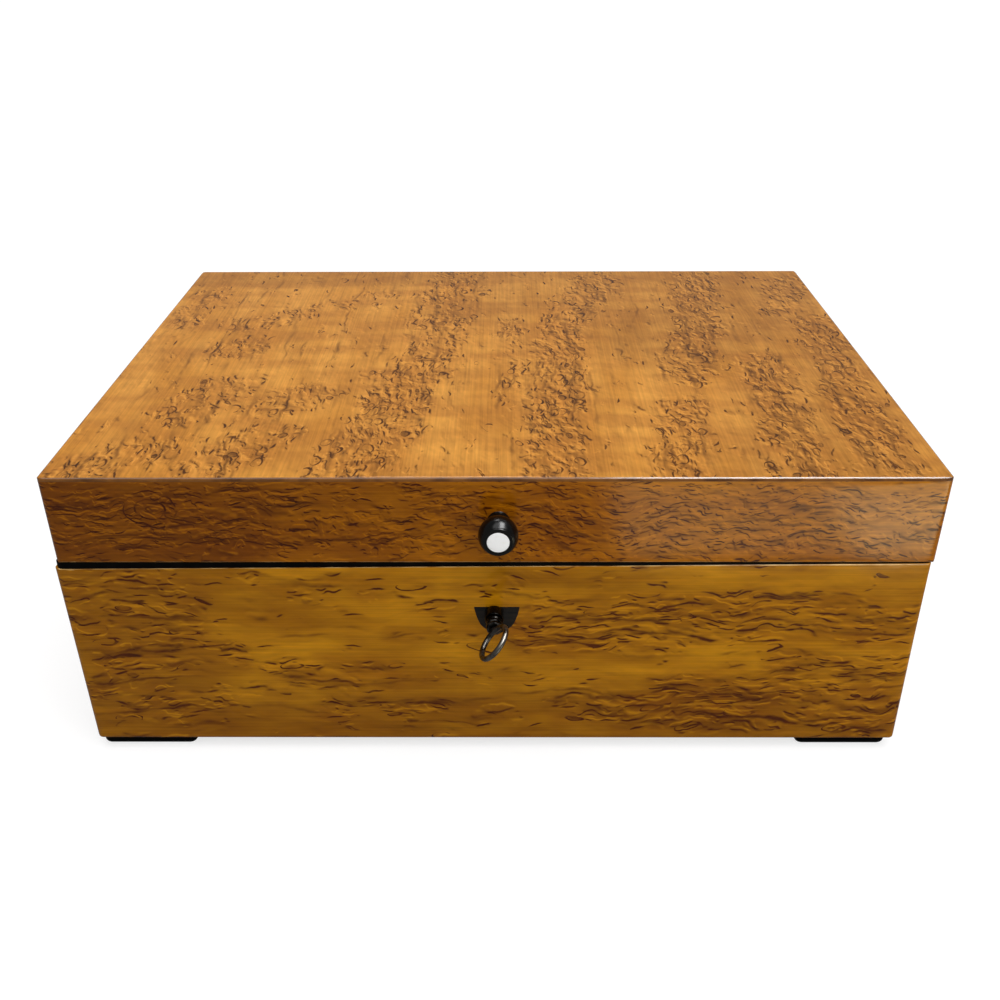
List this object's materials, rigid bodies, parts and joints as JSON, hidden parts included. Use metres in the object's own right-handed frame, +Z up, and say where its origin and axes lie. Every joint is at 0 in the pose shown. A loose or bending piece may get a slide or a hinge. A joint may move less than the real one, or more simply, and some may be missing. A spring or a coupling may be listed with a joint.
{
  "type": "wooden box",
  "caption": "Low rectangular box veneered in figured wood, with a hinged lid, a black turned knob, a key in a link-plate lock and flat black feet.",
  "frame": {"origin": "on the ground under the middle of the carcass, in the plane of the feet's undersides", "axes": "+X to the right along the front, +Y to the back where the hinges are, +Z up"},
  "size_m": [0.34, 0.2792, 0.1325],
  "materials": {
    "burl_veneer": "golden figured birch veneer, polished",
    "carcass_wood": "planed softwood, unpolished",
    "ebonised_wood": "stained black and polished",
    "ebony": "dark inlay, rubbed flush",
    "bone": "polished white bone",
    "hinge_brass": "dulled brass",
    "lock_steel": "filed steel",
    "key_steel": "dark worn steel"
  },
  "bodies": {
    "base": {"base_back_board": "carcass_wood", "base_back_veneer": "burl_veneer", "base_bottom_board": "carcass_wood", "base_front_board": "carcass_wood", "base_front_veneer": "burl_veneer", "base_left_board": "carcass_wood", "base_left_veneer": "burl_veneer", "base_right_board": "carcass_wood", "base_right_veneer": "burl_veneer", "bolt_spring": "lock_steel", "drill_pin": "lock_steel", "foot_back_left": "ebonised_wood", "foot_back_right": "ebonised_wood", "foot_front_left": "ebonised_wood", "foot_front_right": "ebonised_wood", "hinge_base_screws": "hinge_brass", "hinge_left_base_leaf": "hinge_brass", "hinge_left_pin": "hinge_brass", "hinge_right_base_leaf": "hinge_brass", "hinge_right_pin": "hinge_brass", "keyhole_escutcheon": "ebony", "lock_cap": "lock_steel", "lock_case": "lock_steel", "lock_screws": "lock_steel", "rim_edging_back": "ebonised_wood", "rim_edging_front": "ebonised_wood", "rim_edging_left": "ebonised_wood", "rim_edging_right": "ebonised_wood"},
    "lid": {"hinge_left_lid_leaf": "hinge_brass", "hinge_lid_screws": "hinge_brass", "hinge_right_lid_leaf": "hinge_brass", "knob_disc": "bone", "lid_back_board": "carcass_wood", "lid_back_veneer": "burl_veneer", "lid_front_board": "carcass_wood", "lid_front_veneer": "burl_veneer", "lid_knob": "ebonised_wood", "lid_left_board": "carcass_wood", "lid_left_veneer": "burl_veneer", "lid_right_board": "carcass_wood", "lid_right_veneer": "burl_veneer", "lid_top_board": "carcass_wood", "lid_top_veneer": "burl_veneer", "link_plate": "lock_steel", "link_plate_screws": "lock_steel"},
    "key": {"key": "key_steel"},
    "bolt": {"lock_bolt": "lock_steel"}
  },
  "joints": [
    {"name": "lid_hinge", "type": "hinge", "parent": "base", "child": "lid", "pos_m": [0, 0.1235, 0.09525], "axis": [-1, 0, 0], "range_deg": [0, 100]},
    {"name": "key_turn", "type": "hinge", "parent": "base", "child": "key", "pos_m": [0, -0.125, 0.072], "axis": [0, -1, 0], "range_deg": [0, 85]},
    {"name": "bolt_slide", "type": "slide", "parent": "base", "child": "bolt", "axis": [-1, 0, 0], "range_m": [0, 0.00771]}
  ],
  "couplings": [
    {"joint": "key_turn", "follows": "bolt_slide", "rad_per_m": 181.02}
  ]
}
